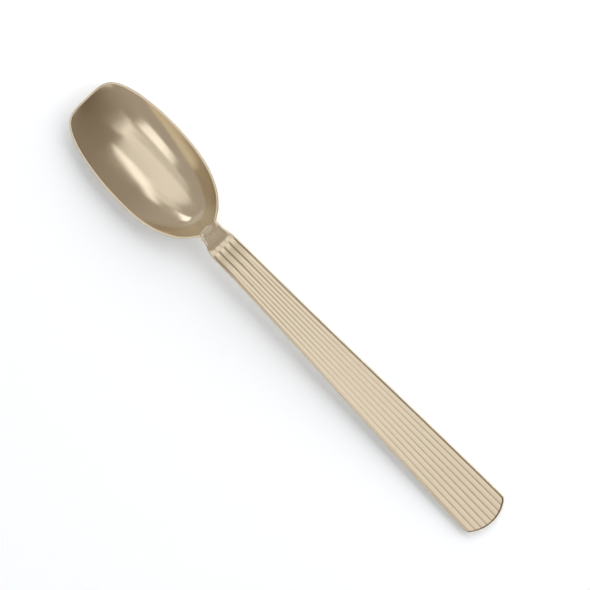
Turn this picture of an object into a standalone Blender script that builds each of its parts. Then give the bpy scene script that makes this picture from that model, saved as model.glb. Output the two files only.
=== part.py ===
"""A salad serving spoon with a hollow fluted handle, in metres, +Z up.

It lies along X with the bowl's tip at -X, and rests on the flat under its bowl and on the end of its handle.
Every piece is lofted through closed rings of points, one ring for each station along the spoon.
"""

import math

import bmesh
import bpy

# Overall sizes
LENGTH = 0.250
BOWL_LENGTH = 0.078  # tip to the joint with the handle
BOWL_WIDTH = 0.0412
NECK_WIDTH = 0.0102
HANDLE_WIDTH = 0.0226  # widest, near the end

# Bowl outline, seen from above: two halves of unlike superellipses that meet at the widest part
WIDEST_FROM_TIP = 0.036
NECK_RUN = 0.0016  # straight stretch before the joint
TIP_POWERS = (1.72, 4.3)
BASE_POWERS = (2.6, 2.0)
NECK_BLEND = 4

# Bowl heights and walls
TIP_RIM_HEIGHT = 0.0080
FLOOR_THICKNESS = 0.0012  # at its thinnest
FLOOR_SAG = 0.0006  # its lowest part lies below its start at the tip
FLOOR_LIFT = 0.0023  # its end at the base lies above its lowest part
LOWEST_FROM_TIP = 0.0445  # where the floor starts to rise toward the base
TIP_WALL_RUN = 0.0230  # rim at the tip to the floor
TIP_FILLET = 0.0035  # over which the floor turns up into the tip's wall
TIP_RIM_SLOPE = 0.44
TIP_RAMP_SLOPE = 0.19
BASE_WALL_RUN = 0.0105  # floor to the joint
INSIDE_FLAT = 0.05  # part of the half-width that is flat, where that is widest
UNDER_FLAT = 0.2
WALL_LEAN = 0.6  # how much the wall's arc steepens toward the rim
RIM_WIDTH = 0.0011
RIM_ROUND = 0.00035
RIM_CROWN = (0.7, 0.3)  # shares of the rim's width between which it is level
RIM_SIDE = 0.0009

# Side view of the top line: joint, crest of the neck, fall behind it, straight of the handle
JOINT_HEIGHT = 0.0125
JOINT_SLOPE = 0.42
CREST_RUN = 0.0075  # joint to crest
CREST_HEIGHT = 0.0151
FALL_RUN = 0.0032  # crest to the steepest fall behind it
FALL_SLOPE = 0.17
STRAIGHT_RUN = 0.0130  # crest to the straight
STRAIGHT_DROP = 0.0016  # from the crest to the start of the straight
NECK_DISH = 0.0005  # the neck's edges stand above its middle at the joint

# Handle outline, seen from above
FLARE_RUN = 0.0085  # joint to the start of the taper
FLARE_WIDTH = 0.0135
FLARE_SLOPE = 0.010
END_FLARE = 0.020  # slope of the side where the corner starts
END_RADIUS = 0.017
CORNER_RADIUS = 0.003

# Handle section
HANDLE_THICKNESS = 0.0056  # at the joint, on the centre line
END_THICKNESS = 0.0034
EDGE_THICKNESS = 0.0028
EDGE_RADIUS = 0.0009
SHELL_WALL = 0.0008
DOME_POWER = 4  # how full the back's dome is
FLUTE_COUNT = 8  # a multiple of 4, so that ridges run along the middle and the edges
FLUTE_DEPTH = 0.00005
NECK_FLUTE_DEPTH = 0.00012  # where every second ridge is missing
SPLIT_RUN = 0.034  # crest to where all ridges are there
FLUTE_FADE = 0.6  # part of the depth that is lost halfway along the handle
FLUTE_POWER = 3  # above 2 the flutes have flatter beds and thinner ridges
BRAZE_THICKNESS = 0.0003
BRAZE_GAP = 0.0001
FIT_GAP = 0.0002
CEMENT_COVER = 0.0005  # cement above and below the tang
CEMENT_SIDE = 0.0014  # cement beside the tang
TANG_LENGTH = 0.045
TANG_ROOT = 0.003  # how far the tang starts inside the neck

# Fineness of the mesh
TIP_STATIONS = 14
BASE_STATIONS = 20
BOWL_COLUMNS = 16
HANDLE_STATIONS = 20
CORNER_STATIONS = 4
END_STATIONS = 5
FLUTE_LANES = 4
BACK_COLUMNS = 8
ROUND_STEPS = 3
TANG_STATIONS = 12
STATION_SPREAD = 1.6  # above 1 the stations crowd toward the neck
MERGE = 1e-6
SLOPE_STEP = 0.0001  # over which slopes are measured

# Places along X
TIP_X = -LENGTH / 2
END_X = LENGTH / 2
JOINT_X = TIP_X + BOWL_LENGTH
WIDEST_X = TIP_X + WIDEST_FROM_TIP
FLOOR_START_X = TIP_X + TIP_WALL_RUN
FILLET_X = FLOOR_START_X - TIP_FILLET
LOWEST_X = TIP_X + LOWEST_FROM_TIP
FLOOR_END_X = JOINT_X - BASE_WALL_RUN
LIFT_SLOPE = 2 * FLOOR_LIFT / (FLOOR_END_X - LOWEST_X)
CREST_X = JOINT_X + CREST_RUN
STRAIGHT_X = CREST_X + STRAIGHT_RUN
SPLIT_X = CREST_X + SPLIT_RUN
FLARE_X = JOINT_X + FLARE_RUN
REST_X = END_X - EDGE_RADIUS
STRAIGHT_HEIGHT = CREST_HEIGHT - STRAIGHT_DROP
END_SLOPE = (STRAIGHT_HEIGHT - END_THICKNESS) / (REST_X - STRAIGHT_X)
BRAZE_X = JOINT_X + BRAZE_GAP
MOUTH_X = BRAZE_X + BRAZE_THICKNESS + BRAZE_GAP
CEMENT_X = MOUTH_X + FIT_GAP
TANG_END_X = JOINT_X + TANG_LENGTH
END_CENTRE_X = END_X - END_RADIUS
CORNER_Y = HANDLE_WIDTH / 2 - CORNER_RADIUS
CORNER_REACH = END_RADIUS - CORNER_RADIUS
CORNER_X = END_CENTRE_X + math.sqrt(CORNER_REACH**2 - CORNER_Y**2)
CORNER_ANGLE = math.asin(CORNER_Y / CORNER_REACH)
HALFWAY_X = (FLARE_X + CORNER_X) / 2
SEAM_DROP = EDGE_THICKNESS / 2
SEAM_HALF = BRAZE_THICKNESS / 2 + BRAZE_GAP
TANG_WIDTH = NECK_WIDTH - 2 * (SHELL_WALL + 2 * FIT_GAP + CEMENT_SIDE)

# Looks: colour, roughness, metallic
SATIN_GOLD = ((0.80, 0.725, 0.58), 0.18, 1.0)
BRAZE = ((0.78, 0.71, 0.56), 0.26, 1.0)
CEMENT = ((0.55, 0.52, 0.47), 0.90, 0.0)


def hermite(knots, x):
    """Height at x on a smooth curve through (x, height, slope) knots, straight beyond its ends."""
    if x <= knots[0][0]:
        return knots[0][1] + knots[0][2] * (x - knots[0][0])
    for (x0, z0, s0), (x1, z1, s1) in zip(knots, knots[1:]):
        if x <= x1:
            run = x1 - x0
            u = (x - x0) / run
            rise = z0 + (z1 - z0) * u * u * (3 - 2 * u)
            return rise + run * (s0 * u * (1 - u) ** 2 - s1 * u * u * (1 - u))
    return knots[-1][1] + knots[-1][2] * (x - knots[-1][0])


def ease(x, start, end):
    """Rises smoothly from 0 at start to 1 at end."""
    u = min(max((x - start) / (end - start), 0), 1)
    return u * u * (3 - 2 * u)


# Lines of the whole spoon
def rim_height(x):
    return TIP_RIM_HEIGHT + (JOINT_HEIGHT + NECK_DISH - TIP_RIM_HEIGHT) * (x - TIP_X) / BOWL_LENGTH


def top_line(x):
    """Height of the upper surface on the centre line, from the bowl's tip to the handle's end."""
    inner_tip = TIP_X + RIM_WIDTH
    floor_start = FLOOR_THICKNESS + FLOOR_SAG
    floor_slope = 2 * FLOOR_SAG / (LOWEST_X - FLOOR_START_X)
    fillet_rise = TIP_FILLET * (TIP_RAMP_SLOPE + floor_slope) / 2
    knots = (
        (inner_tip, rim_height(inner_tip) - RIM_ROUND, -TIP_RIM_SLOPE),
        (FILLET_X, floor_start + fillet_rise, -TIP_RAMP_SLOPE),
        (FLOOR_START_X, floor_start, -floor_slope),
        (LOWEST_X, FLOOR_THICKNESS, 0),
        (FLOOR_END_X, FLOOR_THICKNESS + FLOOR_LIFT, LIFT_SLOPE),
        (JOINT_X, JOINT_HEIGHT, JOINT_SLOPE),
        (CREST_X, CREST_HEIGHT, 0),
        (CREST_X + FALL_RUN, CREST_HEIGHT - FALL_RUN * FALL_SLOPE / 2, -FALL_SLOPE),
        (STRAIGHT_X, STRAIGHT_HEIGHT, -END_SLOPE),
        (REST_X, END_THICKNESS * math.hypot(1, END_SLOPE), -END_SLOPE),
    )
    return hermite(knots, x)


def steepness(x):
    """Upright distance taken up by one unit of thickness on the sloping handle."""
    return math.hypot(1, (top_line(x + SLOPE_STEP) - top_line(x - SLOPE_STEP)) / (2 * SLOPE_STEP))


def thickness(x):
    return HANDLE_THICKNESS + (END_THICKNESS - HANDLE_THICKNESS) * (x - JOINT_X) / (REST_X - JOINT_X)


def bottom_line(x):
    """Height of the bowl's under surface on the centre line."""
    joint = JOINT_HEIGHT - thickness(JOINT_X) * steepness(JOINT_X)
    knots = (
        (TIP_X, rim_height(TIP_X) - RIM_SIDE, -TIP_RIM_SLOPE),
        (FILLET_X, TIP_FILLET * TIP_RAMP_SLOPE / 2, -TIP_RAMP_SLOPE),
        (FLOOR_START_X, 0, 0),
        (LOWEST_X, 0, 0),
        (FLOOR_END_X, FLOOR_LIFT, LIFT_SLOPE),
        (JOINT_X, joint, JOINT_SLOPE),
    )
    return hermite(knots, x)


# Bowl
def bowl_half_width(x):
    base_run = JOINT_X - NECK_RUN - WIDEST_X
    if x < WIDEST_X:
        run, (p, q) = (WIDEST_X - x) / WIDEST_FROM_TIP, TIP_POWERS
    else:
        run, (p, q) = (x - WIDEST_X) / base_run, BASE_POWERS
    egg = BOWL_WIDTH / 2 * max(1 - run**p, 0) ** (1 / q)
    neck = NECK_WIDTH / 2 * ease(x, WIDEST_X, JOINT_X - NECK_RUN)
    return (egg**NECK_BLEND + neck**NECK_BLEND) ** (1 / NECK_BLEND)


def bowl_stations():
    """X of each ring, closest together where the outline turns at the tip and at the neck."""
    xs = []
    for i in range(TIP_STATIONS):
        angle = math.pi / 2 * i / TIP_STATIONS
        xs.append(WIDEST_X - WIDEST_FROM_TIP * math.cos(angle) ** (2 / TIP_POWERS[0]))
    for i in range(BASE_STATIONS + 1):
        angle = math.pi / 2 * i / BASE_STATIONS
        xs.append(WIDEST_X + (JOINT_X - WIDEST_X) * math.sin(angle))
    return xs


def bowl_outline(inset):
    """(x, half-width) of each ring's edge, moved square to the outline by inset."""
    points = [(TIP_X + inset, 0)]
    for x in bowl_stations()[1:-1]:
        step = min(SLOPE_STEP, (x - TIP_X) / 2)
        turn = math.atan2(bowl_half_width(x + step) - bowl_half_width(x - step), 2 * step)
        points.append((x + inset * math.sin(turn), bowl_half_width(x) - inset * math.cos(turn)))
    points.append((JOINT_X, NECK_WIDTH / 2 - inset))
    return points


def wall_rise(x, share, widest_flat):
    """Part of the wall's height reached at a share of the half-width: an elliptical flat, then a rising arc."""
    reach = (2 * x - FLOOR_START_X - FLOOR_END_X) / (FLOOR_END_X - FLOOR_START_X)
    flat = widest_flat * math.sqrt(max(1 - reach**2, 0))
    lean = WALL_LEAN * max(abs(share) - flat, 0) / (1 - flat)
    arc = (1 - math.sqrt(1 - lean**2)) / (1 - math.sqrt(1 - WALL_LEAN**2))
    neck = ease(x, FLOOR_END_X, JOINT_X)
    return arc + (share**2 - arc) * neck


def edge_drop(x):
    """Height of the bowl's side face, from its thin rim to the full edge of the neck."""
    neck = EDGE_THICKNESS * steepness(JOINT_X)
    return RIM_SIDE + (neck - RIM_SIDE) * ease(x, FLOOR_END_X, JOINT_X)


def bowl_rings():
    shares = [math.sin(math.pi / 2 * (2 * j / BOWL_COLUMNS - 1)) for j in range(BOWL_COLUMNS + 1)]
    crown = [(share * RIM_WIDTH, 0) for share in RIM_CROWN] + [(0, RIM_ROUND)]
    crowns = [(bowl_outline(inset), drop) for inset, drop in crown]
    rings = []
    for i, ((xi, wi), (xo, wo)) in enumerate(zip(bowl_outline(RIM_WIDTH), bowl_outline(0))):
        floor, lip = top_line(xi), rim_height(xi) - RIM_ROUND
        under, side = bottom_line(xo), rim_height(xo) - edge_drop(xo)
        top = [(xi, s * wi, floor + (lip - floor) * wall_rise(xi, s, INSIDE_FLAT)) for s in shares]
        bottom = [(xo, s * wo, under + (side - under) * wall_rise(xo, s, UNDER_FLAT)) for s in shares]
        rim = [(line[i][0], line[i][1], rim_height(line[i][0]) - drop) for line, drop in crowns]
        left_rim = [(x, -y, z) for x, y, z in reversed(rim)]
        rings.append(top + rim + bottom[::-1] + left_rim)
    return rings


# Handle
def handle_side(x):
    knots = (
        (JOINT_X, NECK_WIDTH / 2, 0),
        (FLARE_X, FLARE_WIDTH / 2, FLARE_SLOPE),
        (CORNER_X, HANDLE_WIDTH / 2, END_FLARE),
    )
    return hermite(knots, x)


def handle_outline(start, inset):
    """(x, half-width) of each ring's edge: the taper, the corner's arc, then the arc across the end."""
    points = []
    for i in range(HANDLE_STATIONS):
        x = start + (CORNER_X - start) * (i / HANDLE_STATIONS) ** STATION_SPREAD
        points.append((x, handle_side(x) - inset))
    for i in range(CORNER_STATIONS):
        angle = math.pi / 2 + (CORNER_ANGLE - math.pi / 2) * i / CORNER_STATIONS
        radius = CORNER_RADIUS - inset
        points.append((CORNER_X + radius * math.cos(angle), CORNER_Y + radius * math.sin(angle)))
    for i in range(END_STATIONS):
        angle = CORNER_ANGLE * (1 - i / END_STATIONS)
        radius = END_RADIUS - inset
        points.append((END_CENTRE_X + radius * math.cos(angle), radius * math.sin(angle)))
    return points + [(END_X - inset, 0)]


def handle_point(x, y, drop):
    """A point of the handle's section, drop below its upper surface."""
    dish = NECK_DISH * (1 - ease(x, JOINT_X, CREST_X)) * (y / handle_side(x)) ** 2
    return (x, y, top_line(x) + dish - drop * steepness(x))


def fluted_half(x):
    """Half-width of the flutes, which fan out with the taper and run out at the end."""
    return handle_side(x) - EDGE_RADIUS


def hollow(across):
    """0 along the ridges, which lie at whole numbers, and 1 along the beds between them."""
    return 1 - abs(2 * (across % 1) - 1) ** FLUTE_POWER


def flute(x, y):
    """Depth of the flutes between the ridges, every second of which starts behind the crest."""
    across = y / fluted_half(x) * FLUTE_COUNT / 2
    fade = FLUTE_FADE * (ease(x, FLARE_X, HALFWAY_X) - ease(x, HALFWAY_X, CORNER_X))
    narrow = FLUTE_DEPTH * (1 - fade) * hollow(across)
    broad = NECK_FLUTE_DEPTH * hollow(across / 2)
    return broad + (narrow - broad) * ease(x, CREST_X, SPLIT_X)


def face_across(x, width, inset):
    """(y, drop) across half of a fluted skin, from the centre line out to width."""
    lanes = FLUTE_COUNT * FLUTE_LANES // 2
    ys = [min(fluted_half(x) * k / lanes, width) for k in range(lanes)] + [width]
    return [(y, inset + flute(x, y)) for y in ys]


def back_across(x, width, inset):
    """(y, drop) across half of a domed skin under the handle, from the centre line out to width."""
    points = []
    for j in range(BACK_COLUMNS + 1):
        share = j / BACK_COLUMNS
        dome = (thickness(x) - EDGE_THICKNESS) * (1 - share**DOME_POWER)
        points.append((share * width, EDGE_THICKNESS + dome - inset))
    return points


def skin(across, start, inset, edge_drop, last_drop):
    """Rows of a skin that lies inset inside the handle, from edge to edge over its face or under its back.

    Its rounded edge ends at edge_drop below the face, and its side then goes on to last_drop.
    """
    limit = max(EDGE_RADIUS, inset)
    angles = [math.pi / 2 * i / ROUND_STEPS for i in range(1, ROUND_STEPS + 1)]
    turns = [(handle_outline(start, limit - (limit - inset) * math.sin(a)), 1 - math.cos(a)) for a in angles]
    side = handle_outline(start, inset)
    rows = []
    for i, (x, width) in enumerate(handle_outline(start, limit)):
        flat = across(x, width, inset)
        first = flat[-1][1]
        half = [handle_point(x, y, drop) for y, drop in flat]
        half += [handle_point(*outline[i], first + (edge_drop - first) * turn) for outline, turn in turns]
        half.append(handle_point(*side[i], last_drop))
        rows.append([(x, -y, z) for x, y, z in half[:0:-1]] + half)
    return rows


def face_edge(inset):
    """Drop at which the rounded edge of a face skin ends."""
    return max(EDGE_RADIUS, inset + FLUTE_DEPTH)


def back_edge(inset):
    """Drop at which the rounded edge of a back skin begins."""
    return EDGE_THICKNESS - max(EDGE_RADIUS, inset)


def face_skin(start, inset, last_drop):
    return skin(face_across, start, inset, face_edge(inset), last_drop)


def back_skin(start, inset, last_drop):
    return skin(back_across, start, inset, back_edge(inset), last_drop)


def closed(upper_rows, lower_rows):
    """Rings that run along one set of rows and back along the other."""
    return [upper + lower[::-1] for upper, lower in zip(upper_rows, lower_rows)]


def face_shell_rings():
    seam = SEAM_DROP - SEAM_HALF
    return closed(face_skin(MOUTH_X, 0, seam), face_skin(MOUTH_X, SHELL_WALL, seam))


def back_shell_rings():
    seam = SEAM_DROP + SEAM_HALF
    return closed(back_skin(MOUTH_X, SHELL_WALL, seam), back_skin(MOUTH_X, 0, seam))


def whole_rings(start, inset):
    """Rings round the whole section of the handle, inset from its outside."""
    return closed(face_skin(start, inset, face_edge(inset)), back_skin(start, inset, back_edge(inset)))


def neck_braze_rings():
    return [whole_rings(x, 0)[0] for x in (BRAZE_X, BRAZE_X + BRAZE_THICKNESS)]


def seam_braze_rings():
    """A square strip along the edge of the handle, from its mouth round the end and back."""
    outer, inner = handle_outline(MOUTH_X, 0), handle_outline(MOUTH_X, SHELL_WALL)
    top, bottom = SEAM_DROP - BRAZE_THICKNESS / 2, SEAM_DROP + BRAZE_THICKNESS / 2
    right = []
    for out, within in zip(outer, inner):
        corners = ((out, top), (out, bottom), (within, bottom), (within, top))
        right.append([handle_point(*place, drop) for place, drop in corners])
    left = [[(x, -y, z) for x, y, z in ring] for ring in right[-2::-1]]
    return right + left


def tang_rings(gap):
    """A flat bar inside the handle, with room of gap all round it."""
    side = TANG_WIDTH / 2 + gap
    cover = SHELL_WALL + 2 * FIT_GAP + CEMENT_COVER
    half = (thickness(TANG_END_X) - FLUTE_DEPTH) / 2 - cover + gap
    start, end = JOINT_X - TANG_ROOT, TANG_END_X + gap
    rings = []
    for i in range(TANG_STATIONS + 1):
        x = start + (end - start) * (i / TANG_STATIONS) ** STATION_SPREAD
        middle = (thickness(x) + FLUTE_DEPTH) / 2
        corners = ((side, middle - half), (side, middle + half), (-side, middle + half), (-side, middle - half))
        rings.append([handle_point(x, y, drop) for y, drop in corners])
    return rings


# Building
def loft(name, rings, look):
    """One closed solid through rings of equal length. A ring on the centre line closes on itself."""
    mesh = bpy.data.meshes.new(name)
    bm = bmesh.new()
    loops = [[bm.verts.new(point) for point in ring] for ring in rings]
    for near, far in zip(loops, loops[1:]):
        for j in range(len(near)):
            bm.faces.new((near[j - 1], near[j], far[j], far[j - 1]))
    bm.faces.new(loops[0])
    bm.faces.new(loops[-1])
    bmesh.ops.remove_doubles(bm, verts=bm.verts, dist=MERGE)
    bmesh.ops.recalc_face_normals(bm, faces=bm.faces)
    bm.to_mesh(mesh)
    bm.free()
    mesh.materials.append(look)
    piece = bpy.data.objects.new(name, mesh)
    bpy.context.scene.collection.objects.link(piece)
    return piece


def combine(piece, tool, operation):
    """Joins the tool to the piece, or cuts it out, and hides it."""
    boolean = piece.modifiers.new(tool.name, "BOOLEAN")
    boolean.object = tool
    boolean.operation = operation
    boolean.solver = "EXACT"
    tool.hide_render = True
    tool.display_type = "WIRE"


def material(name, colour, roughness, metallic):
    look = bpy.data.materials.new(name)
    look.use_nodes = True
    shader = look.node_tree.nodes["Principled BSDF"]
    shader.inputs["Base Color"].default_value = (*colour, 1)
    shader.inputs["Roughness"].default_value = roughness
    shader.inputs["Metallic"].default_value = metallic
    return look


def build():
    for old in list(bpy.data.objects):
        bpy.data.objects.remove(old, do_unlink=True)
    metal = [material(name, *SATIN_GOLD) for name in ("bowl_metal", "face_metal", "back_metal")]
    braze = [material(name, *BRAZE) for name in ("seam_braze_metal", "neck_braze_metal")]
    cement = material("cement", *CEMENT)

    tang = loft("tang_bar", tang_rings(0), metal[0])
    slot = loft("tang_slot", tang_rings(FIT_GAP), cement)

    combine(loft("bowl", bowl_rings(), metal[0]), tang, "UNION")
    loft("handle_face_shell", face_shell_rings(), metal[1])
    loft("handle_back_shell", back_shell_rings(), metal[2])
    loft("handle_seam_braze", seam_braze_rings(), braze[0])
    combine(loft("neck_braze", neck_braze_rings(), braze[1]), slot, "DIFFERENCE")
    combine(loft("handle_cement", whole_rings(CEMENT_X, SHELL_WALL + FIT_GAP), cement), slot, "DIFFERENCE")


build()
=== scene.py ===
"""Fine meshes, satin gold metal, floor, lamps and camera for a salad serving spoon.

The spoon lies along X with the bowl's tip at -X. Sizes are in metres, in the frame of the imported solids.
"""

import math

import bmesh
import bpy
from mathutils import Matrix, Vector


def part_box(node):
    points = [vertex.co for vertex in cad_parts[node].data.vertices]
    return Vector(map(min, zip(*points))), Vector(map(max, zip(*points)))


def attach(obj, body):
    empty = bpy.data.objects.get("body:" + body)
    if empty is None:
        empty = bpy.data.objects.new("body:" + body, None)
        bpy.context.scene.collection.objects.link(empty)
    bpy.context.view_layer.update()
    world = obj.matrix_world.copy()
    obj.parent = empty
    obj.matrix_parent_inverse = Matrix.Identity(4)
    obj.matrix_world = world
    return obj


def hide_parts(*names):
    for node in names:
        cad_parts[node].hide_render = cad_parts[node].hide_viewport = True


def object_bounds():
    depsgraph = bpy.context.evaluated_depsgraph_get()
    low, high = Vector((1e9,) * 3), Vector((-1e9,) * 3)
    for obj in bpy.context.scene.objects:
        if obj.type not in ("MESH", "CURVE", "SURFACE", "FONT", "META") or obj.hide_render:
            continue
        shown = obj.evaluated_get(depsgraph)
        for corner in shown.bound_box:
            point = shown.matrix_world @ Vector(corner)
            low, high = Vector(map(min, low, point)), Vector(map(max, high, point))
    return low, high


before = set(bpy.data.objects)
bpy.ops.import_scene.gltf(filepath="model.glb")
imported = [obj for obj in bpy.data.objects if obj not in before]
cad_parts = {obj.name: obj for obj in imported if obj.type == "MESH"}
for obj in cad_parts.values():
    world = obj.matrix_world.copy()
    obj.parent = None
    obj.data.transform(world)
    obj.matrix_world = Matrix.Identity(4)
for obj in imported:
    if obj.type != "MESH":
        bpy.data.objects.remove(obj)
CAD_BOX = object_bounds()

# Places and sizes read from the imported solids
BOWL_LOW, BOWL_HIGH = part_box("bowl")
FACE_LOW, FACE_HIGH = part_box("handle_face_shell")
NECK_LOW, NECK_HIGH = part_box("neck_braze")
TIP_X = BOWL_LOW.x
TANG_END_X = BOWL_HIGH.x
BOWL_WIDTH = BOWL_HIGH.y - BOWL_LOW.y
END_X = FACE_HIGH.x
HANDLE_WIDTH = FACE_HIGH.y - FACE_LOW.y
CREST_HEIGHT = FACE_HIGH.z
NECK_WIDTH = NECK_HIGH.y - NECK_LOW.y

# Joint between the bowl and the handle, with the neck's braze in it
BRAZE_GAP = 0.0001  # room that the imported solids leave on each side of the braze
CLOSE_GAP = 0.00001  # room that the fine bowl and handle leave there
JOINT_X = NECK_LOW.x - BRAZE_GAP
BOWL_END_X = NECK_LOW.x - CLOSE_GAP
MOUTH_X = NECK_HIGH.x + CLOSE_GAP

# Bowl outline, seen from above: two halves of unlike superellipses that meet at the widest part
WIDEST_X = TIP_X + 0.036
NECK_RUN = 0.0016  # straight stretch before the joint
TIP_POWERS = (1.72, 4.3)
BASE_POWERS = (2.6, 2.0)
NECK_BLEND = 4

# Bowl heights and walls
TIP_RIM_HEIGHT = 0.0080
FLOOR_THICKNESS = 0.0012  # at its thinnest
FLOOR_SAG = 0.0006  # its lowest part lies below its start at the tip
FLOOR_LIFT = 0.0023  # its end at the base lies above its lowest part
FLOOR_START_X = TIP_X + 0.0230
TIP_FILLET = 0.0035  # over which the floor turns up into the tip's wall
FILLET_X = FLOOR_START_X - TIP_FILLET
TIP_RIM_SLOPE = 0.44
TIP_RAMP_SLOPE = 0.19
LOWEST_X = TIP_X + 0.0445  # where the floor starts to rise toward the base
FLOOR_END_X = JOINT_X - 0.0105
START_HEIGHT = FLOOR_THICKNESS + FLOOR_SAG
START_SLOPE = 2 * FLOOR_SAG / (LOWEST_X - FLOOR_START_X)
LIFT_SLOPE = 2 * FLOOR_LIFT / (FLOOR_END_X - LOWEST_X)
INSIDE_FLAT = 0.05  # part of the half-width that is flat, where that is widest
UNDER_FLAT = 0.2
WALL_LEAN = 0.6  # how much the wall's arc steepens toward the rim
RIM_WIDTH = 0.0011
RIM_ROUND = 0.00035
RIM_LEVEL = 0.4  # part of the rim's width that is level
RIM_SIDE = 0.0009
RIM_UNDER = 0.0003  # rounding of the rim's lower edge

# Side view of the top line: joint, crest of the neck, fall behind it, straight of the handle
JOINT_HEIGHT = 0.0125
JOINT_SLOPE = 0.42
CREST_X = JOINT_X + 0.0075
FALL_RUN = 0.0032  # crest to the steepest fall behind it
FALL_SLOPE = 0.17
STRAIGHT_X = CREST_X + 0.0130
STRAIGHT_HEIGHT = CREST_HEIGHT - 0.0016
NECK_DISH = 0.0005  # the neck's edges stand above its middle at the joint

# Handle outline, seen from above
FLARE_X = JOINT_X + 0.0085
FLARE_WIDTH = 0.0135
FLARE_SLOPE = 0.010
END_FLARE = 0.020  # slope of the side where the corner starts
END_RADIUS = 0.017
CORNER_RADIUS = 0.003
CORNER_Y = HANDLE_WIDTH / 2 - CORNER_RADIUS
CORNER_REACH = END_RADIUS - CORNER_RADIUS
END_CENTRE_X = END_X - END_RADIUS
CORNER_X = END_CENTRE_X + math.sqrt(CORNER_REACH**2 - CORNER_Y**2)
CORNER_ANGLE = math.asin(CORNER_Y / CORNER_REACH)
HALFWAY_X = (FLARE_X + CORNER_X) / 2

# Handle section
HANDLE_THICKNESS = 0.0056  # at the joint, on the centre line
END_THICKNESS = 0.0034
EDGE_THICKNESS = 0.0028
EDGE_RADIUS = 0.0009
REST_X = END_X - EDGE_RADIUS
END_SLOPE = (STRAIGHT_HEIGHT - END_THICKNESS) / (REST_X - STRAIGHT_X)
SHELL_WALL = 0.0008
DOME_POWER = 4  # how full the back's dome is
FLUTE_COUNT = 8  # a multiple of 4, so that ridges run along the middle and the edges
FLUTE_DEPTH = 0.00005
NECK_FLUTE_DEPTH = 0.00012  # where every second ridge is missing
SPLIT_X = CREST_X + 0.034  # where all ridges are there
FLUTE_FADE = 0.6  # part of the depth that is lost halfway along the handle
FLUTE_POWER = 3  # above 2 the flutes have flatter beds and thinner ridges
SEAM_DROP = EDGE_THICKNESS / 2
SEAM_HALF = 0.00025  # half of the gap between the shells
FIT_GAP = 0.0002  # between shell and cement, and between cement and tang
CEMENT_COVER = 0.0005  # over and under the tang's end
CEMENT_SIDE = 0.0014  # beside the tang at the neck
TANG_SIDE = NECK_WIDTH / 2 - SHELL_WALL - 2 * FIT_GAP - CEMENT_SIDE

# Fineness of the meshes
TIP_STATIONS = 60
TIP_CROWDING = 2.1  # above 1 the stations crowd toward the tip
BASE_STATIONS = 90
BOWL_COLUMNS = 96
RIM_STEPS = 4
HANDLE_STATIONS = 110
STATION_SPREAD = 1.5  # above 1 the stations crowd toward the neck
CORNER_STATIONS = 12
END_STATIONS = 24
FLUTE_LANES = 10
BACK_COLUMNS = 24
ROUND_STEPS = 6
TANG_STATIONS = 12
MERGE = 1e-7
SLOPE_STEP = 0.0001  # over which slopes are measured
SHARP_ANGLE = math.radians(50)

# Camera: the photo is 590 pixels square
CAMERA_AIM = Vector((-0.0031, 0.0067, 0.007))
CAMERA_DISTANCE = 2.5
CAMERA_TILT = math.radians(12.1)  # off the vertical, toward +Y
CAMERA_ROLL = math.radians(47.15)  # from +X to the right of the picture
SENSOR_WIDTH = 36  # millimetres
FIELD_WIDTH = 0.2506  # metres seen across the picture at the aim

# Metal, braze and cement: a tint or a spread goes either way, and a scale counts features to a metre
GOLD = (0.80, 0.725, 0.58)
SATIN_TINT = 0.06
SATIN_ROUGHNESS = 0.16
SATIN_SPREAD = 0.05
CLOUD_SCALE = 90
CLOUD_RANGE = (0.2, 0.8)  # values of the clouds over which the roughness changes
GRAIN_SCALE = 3000
GRAIN_STRETCH = (0.03, 1, 1)
GRAIN_DEPTH = 2e-6
BRAZE_TINT = 0.08
BRAZE_ROUGHNESS = 0.24
BRAZE_SPREAD = 0.06
MOTTLE_SCALE = 700
SCRATCH_SCALE = 4000
SCRATCH_STRETCH = (1, 0.2, 1)
SCRATCH_DEPTH = 2e-6
CEMENT = (0.55, 0.52, 0.47)
CEMENT_TINT = 0.2
CEMENT_ROUGHNESS = 0.9
CEMENT_SPREAD = 0.08
LUMP_SCALE = 500
GRIT_SCALE = 2500
GRIT_DEPTH = 3e-5

# Studio: level soft boxes that the metal mirrors, and a key and a fill that light the floor
FLOOR_SIZE = 12
FLOOR_DROP = 0.00003  # the floor lies just clear of the spoon
FLOOR_COLOUR = (0.90, 0.90, 0.90)
FLOOR_GLOW = 0.19  # for the rays that show it
PANEL_HEIGHT = 4
PANELS = (  # name, middles of the two ends, width, radiance
    ("strip_right", (-0.1, -6.9), (0.0, -3.5), 0.75, 1.0),
    ("strip_left", (-1.3, 4.2), (0.25, 1.0), 0.6, 1.0),
    ("handle_side", (0.56, -2.8), (0.56, -0.62), 0.6, 0.62),
    ("far_side", (1.15, -3.2), (1.15, -0.4), 0.6, 0.50),
    ("middle", (-0.55, -1.6), (-0.55, 1.3), 1.7, 0.46),
    ("right_slope", (-0.55, -3.5), (-0.55, -1.6), 1.5, 0.25),
    ("left_slope", (-1.0, 1.3), (-1.0, 2.7), 1.4, 0.36),
    ("base_spot", (-4.8, 4.7), (-2.7, 2.1), 1.5, 1.1),
)
FLOOR_LAMPS = (  # name, place, size, radiance
    ("key", Vector((0, 2.4, 1.8)), (6, 2.8), 2.8),
    ("fill", Vector((0, 0, 3)), (8, 8), 0.55),
)
FLOOR_LIGHT = (0.965, 0.98, 1)  # cool, against the gold that the spoon throws on the floor
SURROUND = 0.40
SURROUND_SLANT = Vector((-0.33, -0.09, 0))  # how much brighter it is toward +X, +Y and +Z
SURROUND_MOST = 0.44
LOW_RISE = 0.12  # more light near the horizon beyond the tip
LOW_RANGE = (-0.60, -0.90)  # X of the directions over which it rises
DIM_LEVEL = 0.15
DIM_COLOUR = (1, 0.77, 0.54)
BRIGHT_LEVEL = 0.55
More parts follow.
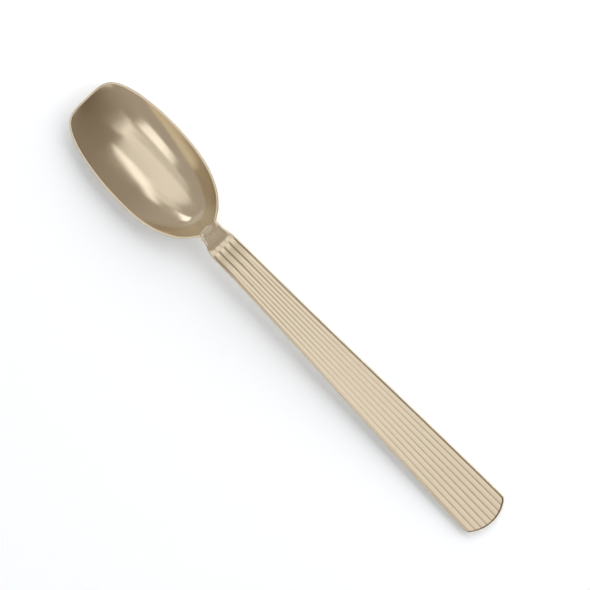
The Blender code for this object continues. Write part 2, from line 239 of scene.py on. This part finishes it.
BRIGHT_COLOUR = (1, 0.92, 0.84)


def hermite(knots, x):
    """Height at x on a smooth curve through (x, height, slope) knots, straight beyond its ends."""
    if x <= knots[0][0]:
        return knots[0][1] + knots[0][2] * (x - knots[0][0])
    for (x0, z0, s0), (x1, z1, s1) in zip(knots, knots[1:]):
        if x <= x1:
            run = x1 - x0
            u = (x - x0) / run
            rise = z0 + (z1 - z0) * u * u * (3 - 2 * u)
            return rise + run * (s0 * u * (1 - u) ** 2 - s1 * u * u * (1 - u))
    return knots[-1][1] + knots[-1][2] * (x - knots[-1][0])


def ease(x, start, end):
    """Rises smoothly from 0 at start to 1 at end."""
    u = min(max((x - start) / (end - start), 0), 1)
    return u * u * (3 - 2 * u)


# Lines of the whole spoon
def rim_height(x):
    return TIP_RIM_HEIGHT + (JOINT_HEIGHT + NECK_DISH - TIP_RIM_HEIGHT) * (x - TIP_X) / (JOINT_X - TIP_X)


INNER_TIP_X = TIP_X + RIM_WIDTH
TOP_KNOTS = (
    (INNER_TIP_X, rim_height(INNER_TIP_X) - RIM_ROUND, -TIP_RIM_SLOPE),
    (FILLET_X, START_HEIGHT + TIP_FILLET * (TIP_RAMP_SLOPE + START_SLOPE) / 2, -TIP_RAMP_SLOPE),
    (FLOOR_START_X, START_HEIGHT, -START_SLOPE),
    (LOWEST_X, FLOOR_THICKNESS, 0),
    (FLOOR_END_X, FLOOR_THICKNESS + FLOOR_LIFT, LIFT_SLOPE),
    (JOINT_X, JOINT_HEIGHT, JOINT_SLOPE),
    (CREST_X, CREST_HEIGHT, 0),
    (CREST_X + FALL_RUN, CREST_HEIGHT - FALL_RUN * FALL_SLOPE / 2, -FALL_SLOPE),
    (STRAIGHT_X, STRAIGHT_HEIGHT, -END_SLOPE),
    (REST_X, END_THICKNESS * math.hypot(1, END_SLOPE), -END_SLOPE),
)


def top_line(x):
    """Height of the upper surface on the centre line, from the bowl's tip to the handle's end."""
    return hermite(TOP_KNOTS, x)


def steepness(x):
    """Upright distance taken up by one unit of thickness on the sloping handle."""
    return math.hypot(1, (top_line(x + SLOPE_STEP) - top_line(x - SLOPE_STEP)) / (2 * SLOPE_STEP))


def thickness(x):
    return HANDLE_THICKNESS + (END_THICKNESS - HANDLE_THICKNESS) * (x - JOINT_X) / (REST_X - JOINT_X)


BOTTOM_KNOTS = (
    (TIP_X, rim_height(TIP_X) - RIM_SIDE, -TIP_RIM_SLOPE),
    (FILLET_X, TIP_FILLET * TIP_RAMP_SLOPE / 2, -TIP_RAMP_SLOPE),
    (FLOOR_START_X, 0, 0),
    (LOWEST_X, 0, 0),
    (FLOOR_END_X, FLOOR_LIFT, LIFT_SLOPE),
    (JOINT_X, JOINT_HEIGHT - thickness(JOINT_X) * steepness(JOINT_X), JOINT_SLOPE),
)


def bottom_line(x):
    """Height of the bowl's under surface on the centre line."""
    return hermite(BOTTOM_KNOTS, x)


# Bowl
def bowl_half_width(x):
    neck_end = JOINT_X - NECK_RUN
    if x < WIDEST_X:
        run, (p, q) = (WIDEST_X - x) / (WIDEST_X - TIP_X), TIP_POWERS
    else:
        run, (p, q) = (x - WIDEST_X) / (neck_end - WIDEST_X), BASE_POWERS
    egg = BOWL_WIDTH / 2 * max(1 - run**p, 0) ** (1 / q)
    neck = NECK_WIDTH / 2 * ease(x, WIDEST_X, neck_end)
    return (egg**NECK_BLEND + neck**NECK_BLEND) ** (1 / NECK_BLEND)


def bowl_stations():
    """X of each ring, closest together where the outline turns at the tip and at the neck."""
    xs = []
    for i in range(TIP_STATIONS):
        angle = math.pi / 2 * (i / TIP_STATIONS) ** TIP_CROWDING
        xs.append(WIDEST_X - (WIDEST_X - TIP_X) * math.cos(angle) ** (2 / TIP_POWERS[0]))
    for i in range(BASE_STATIONS + 1):
        angle = math.pi / 2 * i / BASE_STATIONS
        xs.append(WIDEST_X + (JOINT_X - WIDEST_X) * math.sin(angle))
    return xs


def bowl_outline(inset):
    """(x, half-width) of each ring's edge, moved square to the outline by inset."""
    points = [(TIP_X + inset, 0)]
    for x in bowl_stations()[1:-1]:
        step = min(SLOPE_STEP, (x - TIP_X) / 2)
        turn = math.atan2(bowl_half_width(x + step) - bowl_half_width(x - step), 2 * step)
        points.append((x + inset * math.sin(turn), bowl_half_width(x) - inset * math.cos(turn)))
    points.append((BOWL_END_X, NECK_WIDTH / 2 - inset))
    return points


def wall_rise(x, share, widest_flat):
    """Part of the wall's height at a share of the half-width: an elliptical flat, then a rising arc."""
    reach = (2 * x - FLOOR_START_X - FLOOR_END_X) / (FLOOR_END_X - FLOOR_START_X)
    flat = widest_flat * math.sqrt(max(1 - reach**2, 0))
    lean = WALL_LEAN * max(abs(share) - flat, 0) / (1 - flat)
    arc = (1 - math.sqrt(1 - lean**2)) / (1 - math.sqrt(1 - WALL_LEAN**2))
    neck = ease(x, FLOOR_END_X, JOINT_X)
    return arc + (share**2 - arc) * neck


def wall_row(x, width, low, high, shares, reach, flat):
    """Points at shares of width, which is reach times the wall's own, on a wall from low to high."""
    return [(x, s * width, low + (high - low) * wall_rise(x, s * reach, flat)) for s in shares]


def edge_drop(x):
    """Height of the bowl's side face, from its thin rim to the full edge of the neck."""
    neck = EDGE_THICKNESS * steepness(JOINT_X)
    return RIM_SIDE + (neck - RIM_SIDE) * ease(x, FLOOR_END_X, JOINT_X)


def rim_profile():
    """(inset, drop) across the rim, from inside to outside: a level crown between two rounded edges."""
    round_width = RIM_WIDTH * (1 - RIM_LEVEL) / 2
    turns = [math.pi / 2 * i / RIM_STEPS for i in range(1, RIM_STEPS + 1)]
    outer = [(round_width * (1 - math.sin(a)), RIM_ROUND * (1 - math.cos(a))) for a in turns]
    crown = [(round_width, 0)] + outer
    inner = [(RIM_WIDTH - inset, drop) for inset, drop in crown[-2::-1]]
    return inner + crown


def under_edge(inner, corner, outer):
    """Points of a rounded corner, from the outer side to the under side."""
    points = []
    for i in range(RIM_STEPS + 1):
        u = i / RIM_STEPS
        weights = ((1 - u) ** 2, 2 * u * (1 - u), u * u)
        axes = zip(outer, corner, inner)
        points.append(tuple(sum(w * p for w, p in zip(weights, axis)) for axis in axes))
    return points


def bowl_rings():
    """Rings round the bowl's section, and how many points lie across it and on each side."""
    shares = [math.sin(math.pi / 2 * (2 * j / BOWL_COLUMNS - 1)) for j in range(BOWL_COLUMNS + 1)]
    crowns = [(bowl_outline(inset), drop) for inset, drop in rim_profile()]
    rings = []
    edges = zip(bowl_outline(RIM_WIDTH), bowl_outline(0), bowl_outline(RIM_UNDER))
    for i, ((xi, wi), (xo, wo), (xu, wu)) in enumerate(edges):
        floor, lip = top_line(xi), rim_height(xi) - RIM_ROUND
        under, side = bottom_line(xu), rim_height(xu) - edge_drop(xu)
        reach = wu / max(bowl_half_width(xu), wu, MERGE)
        top = wall_row(xi, wi, floor, lip, shares, 1, INSIDE_FLAT)
        bottom = wall_row(xu, wu, under, side, shares, reach, UNDER_FLAT)
        rim = [(line[i][0], line[i][1], rim_height(line[i][0]) - drop) for line, drop in crowns]
        low = rim_height(xo) - edge_drop(xo)
        rim += under_edge(bottom[-1], (xo, wo, low), (xo, wo, low + RIM_UNDER))[:-1]
        left_rim = [(x, -y, z) for x, y, z in reversed(rim)]
        rings.append(top + rim + bottom[::-1] + left_rim)
    return rings, len(shares), len(rim)


def tang_rings(columns, sides):
    """A flat bar behind the bowl, in rings with as many points as the bowl's own."""
    cover = SHELL_WALL + 2 * FIT_GAP + CEMENT_COVER
    half = (thickness(TANG_END_X) - FLUTE_DEPTH) / 2 - cover
    rings = []
    for i in range(TANG_STATIONS + 1):
        x = BOWL_END_X + (TANG_END_X - BOWL_END_X) * (i / TANG_STATIONS) ** STATION_SPREAD
        middle = (thickness(x) + FLUTE_DEPTH) / 2
        across = [TANG_SIDE * (2 * j / (columns - 1) - 1) for j in range(columns)]
        down = [middle + half * (2 * (j + 1) / (sides + 1) - 1) for j in range(sides)]
        top = [handle_point(x, y, middle - half) for y in across]
        right = [handle_point(x, TANG_SIDE, drop) for drop in down]
        bottom = [handle_point(x, y, middle + half) for y in reversed(across)]
        left = [handle_point(x, -TANG_SIDE, drop) for drop in reversed(down)]
        rings.append(top + right + bottom + left)
    return rings


# Handle
def handle_side(x):
    """Half-width of the handle, from the joint to where its corner starts."""
    knots = (
        (JOINT_X, NECK_WIDTH / 2, 0),
        (FLARE_X, FLARE_WIDTH / 2, FLARE_SLOPE),
        (CORNER_X, HANDLE_WIDTH / 2, END_FLARE),
    )
    return hermite(knots, x)


def handle_outline(start, inset):
    """(x, half-width) of each ring's edge: the taper, the corner's arc, then the arc across the end."""
    points = []
    for i in range(HANDLE_STATIONS):
        x = start + (CORNER_X - start) * (i / HANDLE_STATIONS) ** STATION_SPREAD
        points.append((x, handle_side(x) - inset))
    for i in range(CORNER_STATIONS):
        angle = math.pi / 2 + (CORNER_ANGLE - math.pi / 2) * i / CORNER_STATIONS
        radius = CORNER_RADIUS - inset
        points.append((CORNER_X + radius * math.cos(angle), CORNER_Y + radius * math.sin(angle)))
    for i in range(END_STATIONS):
        angle = CORNER_ANGLE * (1 - i / END_STATIONS)
        radius = END_RADIUS - inset
        points.append((END_CENTRE_X + radius * math.cos(angle), radius * math.sin(angle)))
    return points + [(END_X - inset, 0)]


def handle_point(x, y, drop):
    """A point of the handle's section, drop below its upper surface."""
    dish = NECK_DISH * (1 - ease(x, JOINT_X, CREST_X)) * (y / handle_side(x)) ** 2
    return (x, y, top_line(x) + dish - drop * steepness(x))


def fluted_half(x):
    """Half-width of the flutes, which fan out with the taper and run out at the end."""
    return handle_side(x) - EDGE_RADIUS


def hollow(across):
    """0 along the ridges, which lie at whole numbers, and 1 along the beds between them."""
    return 1 - abs(2 * (across % 1) - 1) ** FLUTE_POWER


def flute(x, y):
    """Depth of the flutes between the ridges, every second of which starts behind the crest."""
    across = y / fluted_half(x) * FLUTE_COUNT / 2
    fade = FLUTE_FADE * (ease(x, FLARE_X, HALFWAY_X) - ease(x, HALFWAY_X, CORNER_X))
    narrow = FLUTE_DEPTH * (1 - fade) * hollow(across)
    broad = NECK_FLUTE_DEPTH * hollow(across / 2)
    return broad + (narrow - broad) * ease(x, CREST_X, SPLIT_X)


def face_across(x, width, inset):
    """(y, drop) across half of a fluted skin, from the centre line out to width."""
    lanes = FLUTE_COUNT * FLUTE_LANES // 2
    ys = [min(fluted_half(x) * k / lanes, width) for k in range(lanes)] + [width]
    return [(y, inset + flute(x, y)) for y in ys]


def back_across(x, width, inset):
    """(y, drop) across half of a domed skin under the handle, from the centre line out to width."""
    points = []
    for j in range(BACK_COLUMNS + 1):
        share = j / BACK_COLUMNS
        dome = (thickness(x) - EDGE_THICKNESS) * (1 - share**DOME_POWER)
        points.append((share * width, EDGE_THICKNESS + dome - inset))
    return points


def skin(across, start, inset, round_drop, last_drop):
    """Rows of a skin that lies inset inside the handle, from edge to edge, along its face or its back.

    Its rounded edge ends at round_drop below the face, and its side then goes on to last_drop.
    """
    limit = max(EDGE_RADIUS, inset)
    reach = limit - inset
    angles = [math.pi / 2 * i / ROUND_STEPS for i in range(1, ROUND_STEPS + 1)]
    turns = [(handle_outline(start, limit - reach * math.sin(a)), 1 - math.cos(a)) for a in angles]
    side = handle_outline(start, inset)
    rows = []
    for i, (x, width) in enumerate(handle_outline(start, limit)):
        flat = across(x, width, inset)
        first = flat[-1][1]
        fall = round_drop - first
        half = [handle_point(x, y, drop) for y, drop in flat]
        half += [handle_point(*outline[i], first + fall * turn) for outline, turn in turns]
        half.append(handle_point(*side[i], last_drop))
        rows.append([(x, -y, z) for x, y, z in half[:0:-1]] + half)
    return rows


def face_skin(inset, last_drop):
    return skin(face_across, MOUTH_X, inset, max(EDGE_RADIUS, inset + FLUTE_DEPTH), last_drop)


def back_skin(inset, last_drop):
    return skin(back_across, MOUTH_X, inset, EDGE_THICKNESS - max(EDGE_RADIUS, inset), last_drop)


def closed(upper_rows, lower_rows):
    """Rings that run along one set of rows and back along the other."""
    return [upper + lower[::-1] for upper, lower in zip(upper_rows, lower_rows)]


def face_shell_rings():
    seam = SEAM_DROP - SEAM_HALF
    return closed(face_skin(0, seam), face_skin(SHELL_WALL, seam))


def back_shell_rings():
    seam = SEAM_DROP + SEAM_HALF
    return closed(back_skin(SHELL_WALL, seam), back_skin(0, seam))


# Building
def loft(name, rings, look):
    """One closed surface through rings of equal length, whose ends may lie folded on the centre line."""
    mesh = bpy.data.meshes.new(name)
    bm = bmesh.new()
    loops = [[bm.verts.new(point) for point in ring] for ring in rings]
    for near, far in zip(loops, loops[1:]):
        for j in range(len(near)):
            bm.faces.new((near[j - 1], near[j], far[j], far[j - 1]))
    for loop in (loops[0], loops[-1]):
        if max(abs(v.co.y) for v in loop) > MERGE:
            bm.faces.new(loop)
    bmesh.ops.remove_doubles(bm, verts=bm.verts, dist=MERGE)
    bmesh.ops.dissolve_degenerate(bm, edges=bm.edges, dist=MERGE)
    bmesh.ops.recalc_face_normals(bm, faces=bm.faces)
    bm.to_mesh(mesh)
    bm.free()
    mesh.shade_smooth()
    mesh.set_sharp_from_angle(angle=SHARP_ANGLE)
    mesh.materials.append(look)
    piece = bpy.data.objects.new(name, mesh)
    bpy.context.scene.collection.objects.link(piece)
    return piece


def stand_for(piece, node):
    """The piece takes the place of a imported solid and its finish."""
    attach(piece, "root")
    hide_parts(node)


# Materials
def add_node(tree, kind, links=(), **settings):
    """A node with settings for its properties or inputs, and links into inputs by name or number."""
    node = tree.nodes.new(kind)
    for name, value in settings.items():
        if hasattr(node, name):
            setattr(node, name, value)
        else:
            node.inputs[name.replace("_", " ")].default_value = value
    for socket, source in dict(links).items():
        tree.links.new(source, node.inputs[socket])
    return node


def combined(tree, operation, first, second):
    """One value from two, of which the second may be a plain number."""
    node = add_node(tree, "ShaderNodeMath", {0: first}, operation=operation)
    if isinstance(second, bpy.types.NodeSocket):
        tree.links.new(second, node.inputs[1])
    else:
        node.inputs[1].default_value = second
    return node.outputs[0]


def new_look(name, colour, roughness, metallic):
    """A material, its nodes and its shader."""
    look = bpy.data.materials.new(name)
    look.use_nodes = True
    shader = look.node_tree.nodes["Principled BSDF"]
    shader.inputs["Base Color"].default_value = (*colour, 1)
    shader.inputs["Roughness"].default_value = roughness
    shader.inputs["Metallic"].default_value = metallic
    return look, look.node_tree, shader


def noise(tree, scale, detail=2, stretch=(1, 1, 1)):
    """Cloudy values from 0 to 1, scale of them to a metre, drawn out where stretch is below 1."""
    place = add_node(tree, "ShaderNodeTexCoord").outputs["Object"]
    spread = add_node(tree, "ShaderNodeMapping", {"Vector": place}, Scale=stretch).outputs[0]
    clouds = add_node(tree, "ShaderNodeTexNoise", {"Vector": spread}, Scale=scale, Detail=detail)
    return clouds.outputs["Fac"]


def between(tree, value, low, high, start=0.0, end=1.0):
    """Turns value, from start to end, into low to high."""
    span = {"From_Min": start, "From_Max": end, "To_Min": low, "To_Max": high}
    return add_node(tree, "ShaderNodeMapRange", {"Value": value}, **span).outputs["Result"]


def mixed(tree, value, first, last):
    """The first colour where value is 0, turning into the last where it is 1."""
    mix = add_node(tree, "ShaderNodeMix", {"Factor": value}, data_type="RGBA")
    mix.inputs["A"].default_value = (*first, 1)
    mix.inputs["B"].default_value = (*last, 1)
    return mix.outputs["Result"]


def tinted(tree, shader, value, colour, spread):
    """Makes the shader's colour lighter, by up to spread either way, as value goes from 0 to 1."""
    dark = [part * (1 - spread) for part in colour]
    light = [part * (1 + spread) for part in colour]
    tree.links.new(mixed(tree, value, dark, light), shader.inputs["Base Color"])


def roughened(tree, shader, value, roughness, spread, start=0.0, end=1.0):
    """Makes the shader rougher, by up to spread either way, as value goes from start to end."""
    rough = between(tree, value, roughness - spread, roughness + spread, start, end)
    tree.links.new(rough, shader.inputs["Roughness"])


def bumped(tree, shader, height, depth):
    """Raises the shader's surface by height times depth, in metres."""
    bump = add_node(tree, "ShaderNodeBump", {"Height": height}, Distance=depth)
    tree.links.new(bump.outputs[0], shader.inputs["Normal"])


def satin_metal(name):
    """Coated metal, polished along the spoon: faint clouds of tint and fine lengthwise grain."""
    look, tree, shader = new_look(name, GOLD, SATIN_ROUGHNESS, 1)
    clouds = noise(tree, CLOUD_SCALE, detail=4)
    tinted(tree, shader, clouds, GOLD, SATIN_TINT)
    roughened(tree, shader, clouds, SATIN_ROUGHNESS, SATIN_SPREAD, *CLOUD_RANGE)
    bumped(tree, shader, noise(tree, GRAIN_SCALE, stretch=GRAIN_STRETCH), GRAIN_DEPTH)
    return look


def braze_metal(name):
    """Filler metal ground flush and coated with the rest: a little duller and more mottled."""
    look, tree, shader = new_look(name, GOLD, BRAZE_ROUGHNESS, 1)
    mottle = noise(tree, MOTTLE_SCALE, detail=4)
    tinted(tree, shader, mottle, GOLD, BRAZE_TINT)
    roughened(tree, shader, mottle, BRAZE_ROUGHNESS, BRAZE_SPREAD)
    bumped(tree, shader, noise(tree, SCRATCH_SCALE, stretch=SCRATCH_STRETCH), SCRATCH_DEPTH)
    return look


def cement_filling(name):
    """Set cement: pale lumps and fine grit."""
    look, tree, shader = new_look(name, CEMENT, CEMENT_ROUGHNESS, 0)
    lumps = noise(tree, LUMP_SCALE, detail=6)
    tinted(tree, shader, lumps, CEMENT, CEMENT_TINT)
    roughened(tree, shader, lumps, CEMENT_ROUGHNESS, CEMENT_SPREAD)
    bumped(tree, shader, noise(tree, GRIT_SCALE, detail=3), GRIT_DEPTH)
    return look


def floor_look():
    """Pale matt floor, with a glow for the rays that show it, so that it is white outside the shadow."""
    look, tree, shader = new_look("floor", FLOOR_COLOUR, 1, 0)
    shader.inputs["Specular IOR Level"].default_value = 0
    shader.inputs["Emission Color"].default_value = (1, 1, 1, 1)
    path = add_node(tree, "ShaderNodeLightPath").outputs
    shown = path["Is Camera Ray"]
    for ray in ("Is Glossy Ray", "Is Transmission Ray"):
        shown = combined(tree, "MAXIMUM", shown, path[ray])
    glow = combined(tree, "MULTIPLY", shown, FLOOR_GLOW)
    tree.links.new(glow, shader.inputs["Emission Strength"])
    return look


# Studio
def make_floor():
    mesh = bpy.data.meshes.new("floor")
    bm = bmesh.new()
    bmesh.ops.create_grid(bm, x_segments=1, y_segments=1, size=FLOOR_SIZE / 2)
    bm.to_mesh(mesh)
    bm.free()
    mesh.materials.append(floor_look())
    floor = bpy.data.objects.new("floor", mesh)
    floor.location.z = CAD_BOX[0].z - FLOOR_DROP
    bpy.context.scene.collection.objects.link(floor)


def lamp(name, place, size, radiance):
    """A soft box with an even glow, facing down."""
    data = bpy.data.lights.new(name, "AREA")
    data.shape = "RECTANGLE"
    data.size, data.size_y = size
    data.energy = radiance * math.pi * size[0] * size[1]
    box = bpy.data.objects.new(name, data)
    box.location = place
    bpy.context.scene.collection.objects.link(box)
    return box


def hang_floor_lamp(name, place, size, radiance):
    """A soft box turned to the spoon, which the metal doesn't mirror."""
    box = lamp(name, place, size, radiance)
    box.rotation_euler = (-place).to_track_quat("-Z", "Y").to_euler()
    box.data.color = FLOOR_LIGHT
    box.visible_glossy = False


def hang_panel(name, start, end, width, radiance):
    """A level soft box that only the metal mirrors."""
    start, end = Vector(start), Vector(end)
    run = end - start
    place = (*((start + end) / 2), PANEL_HEIGHT)
    panel = lamp(name, place, (run.length, width), radiance)
    panel.rotation_euler.z = math.atan2(run.y, run.x)
    panel.visible_diffuse = False


def surround():
    """A dim room that only the metal mirrors: darkest and warmest toward the handle's end."""
    world = bpy.data.worlds.new("surround")
    world.use_nodes = True
    tree = world.node_tree
    way = add_node(tree, "ShaderNodeTexCoord").outputs["Generated"]
    slant = add_node(tree, "ShaderNodeVectorMath", {0: way}, operation="DOT_PRODUCT")
    slant.inputs[1].default_value = SURROUND_SLANT
    level = combined(tree, "ADD", slant.outputs["Value"], SURROUND)
    capped = combined(tree, "MINIMUM", level, SURROUND_MOST)
    along = add_node(tree, "ShaderNodeSeparateXYZ", {0: way}).outputs["X"]
    whole = combined(tree, "ADD", capped, between(tree, along, 0, LOW_RISE, *LOW_RANGE))
    share = between(tree, whole, 0, 1, DIM_LEVEL, BRIGHT_LEVEL)
    shader = tree.nodes["Background"]
    tree.links.new(mixed(tree, share, DIM_COLOUR, BRIGHT_COLOUR), shader.inputs["Color"])
    tree.links.new(whole, shader.inputs["Strength"])
    bpy.context.scene.world = world
    world.cycles_visibility.diffuse = False


def light_studio():
    surround()
    for panel in PANELS:
        hang_panel(*panel)
    for floor_lamp in FLOOR_LAMPS:
        hang_floor_lamp(*floor_lamp)


def place_camera():
    data = bpy.data.cameras.new("camera")
    data.sensor_width = SENSOR_WIDTH
    data.lens = SENSOR_WIDTH * CAMERA_DISTANCE / FIELD_WIDTH
    back = Vector((0, math.sin(CAMERA_TILT), math.cos(CAMERA_TILT)))
    right = Vector((math.cos(CAMERA_ROLL), math.sin(CAMERA_ROLL), 0))
    right = (right - back * right.dot(back)).normalized()
    up = back.cross(right)
    turn = Matrix((right, up, back)).transposed().to_4x4()
    camera = bpy.data.objects.new("camera", data)
    camera.matrix_world = Matrix.Translation(CAMERA_AIM + CAMERA_DISTANCE * back) @ turn
    bpy.context.scene.collection.objects.link(camera)
    bpy.context.scene.camera = camera


def build():
    rings, columns, sides = bowl_rings()
    bowl = loft("bowl_fine", rings + tang_rings(columns, sides), satin_metal("bowl_metal_fine"))
    stand_for(bowl, "bowl")
    face = loft("face_shell_fine", face_shell_rings(), satin_metal("face_metal_fine"))
    stand_for(face, "handle_face_shell")
    back = loft("back_shell_fine", back_shell_rings(), satin_metal("back_metal_fine"))
    stand_for(back, "handle_back_shell")
    for name, look in (
        ("handle_seam_braze", braze_metal("seam_braze_fine")),
        ("neck_braze", braze_metal("neck_braze_fine")),
        ("handle_cement", cement_filling("cement_fine")),
    ):
        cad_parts[name].material_slots[0].material = look


build()
make_floor()
light_studio()
place_camera()
bpy.context.scene.view_settings.view_transform = "Standard"
